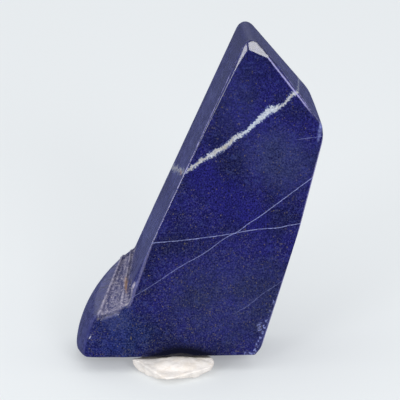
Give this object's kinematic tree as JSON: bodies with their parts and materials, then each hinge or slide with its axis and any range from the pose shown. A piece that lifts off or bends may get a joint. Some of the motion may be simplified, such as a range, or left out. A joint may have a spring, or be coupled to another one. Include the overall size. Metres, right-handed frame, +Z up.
{
  "type": "polished lapis lazuli stone",
  "caption": "Leaning free-form slab of polished deep blue lapis lazuli with a jagged white calcite vein and a rough hollow in its foot, propped upright for display on a lump of white putty.",
  "frame": {"origin": "on the ground, under the middle of the part's bounding box", "axes": "+Z up; the polished front face looks towards -Y, leaning back a little; +X to the right across it"},
  "size_m": [0.0806, 0.0612, 0.1094],
  "materials": {
    "lapis": "polished, with a jagged off-white calcite vein, thin pale blue veins and fine pyrite flecks",
    "putty": "matt white display putty, pressed by hand"
  },
  "bodies": {
    "root": {"lapis_stone": "lapis", "putty_lump": "putty"}
  },
  "joints": []
}
